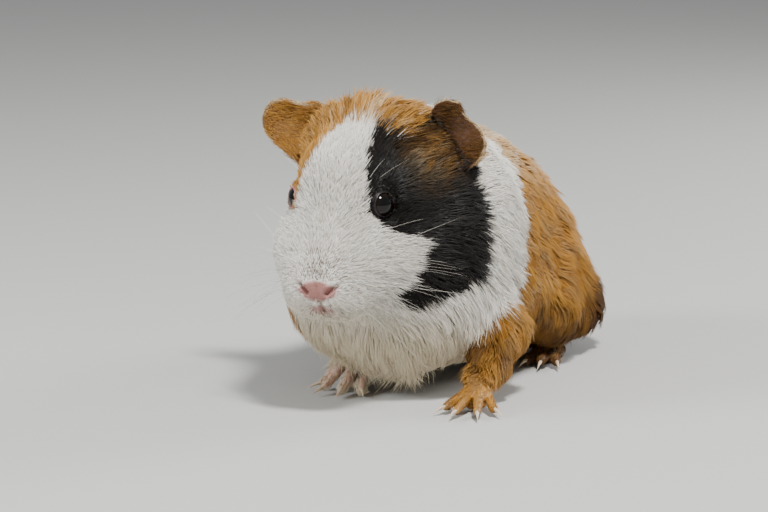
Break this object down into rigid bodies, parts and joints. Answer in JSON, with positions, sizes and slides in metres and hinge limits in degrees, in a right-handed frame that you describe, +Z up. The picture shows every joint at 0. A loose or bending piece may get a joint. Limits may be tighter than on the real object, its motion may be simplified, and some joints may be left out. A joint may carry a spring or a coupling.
{
  "type": "guinea pig",
  "caption": "Life-size museum model of a young short-haired guinea pig in white, black and ginger, standing with its head held low and forward.",
  "frame": {"origin": "middle of the whole model's footprint, on the floor under the soles", "axes": "+Z up, the animal faces -Y, its left side is towards +X"},
  "size_m": [0.0988, 0.1686, 0.1004],
  "materials": {
    "coat_white": "short straight fur, soft sheen",
    "coat_ginger": "short straight fur, soft sheen",
    "bare_skin": "thinly haired skin, matte",
    "ear_skin": "thinly haired skin, matte",
    "claw_horn": "smooth pale horn",
    "eye_black": "wet, near black"
  },
  "bodies": {
    "root": {"head": "coat_white", "neck": "coat_white", "trunk": "coat_ginger", "ear_left": "ear_skin", "eye_left": "eye_black", "foreleg_left": "coat_ginger", "hindleg_left": "coat_ginger", "hindfoot_left": "coat_ginger", "foreclaw_left_1": "claw_horn", "foreclaw_left_2": "claw_horn", "foreclaw_left_3": "claw_horn", "foreclaw_left_4": "claw_horn", "hindclaw_left_1": "claw_horn", "hindclaw_left_2": "claw_horn", "hindclaw_left_3": "claw_horn", "ear_right": "ear_skin", "eye_right": "eye_black", "foreleg_right": "coat_ginger", "hindleg_right": "coat_ginger", "hindfoot_right": "coat_ginger", "foreclaw_right_1": "claw_horn", "foreclaw_right_2": "claw_horn", "foreclaw_right_3": "claw_horn", "foreclaw_right_4": "claw_horn", "hindclaw_right_1": "claw_horn", "hindclaw_right_2": "claw_horn", "hindclaw_right_3": "claw_horn", "forefoot_left": "coat_ginger", "forefoot_right": "bare_skin"}
  },
  "joints": []
}
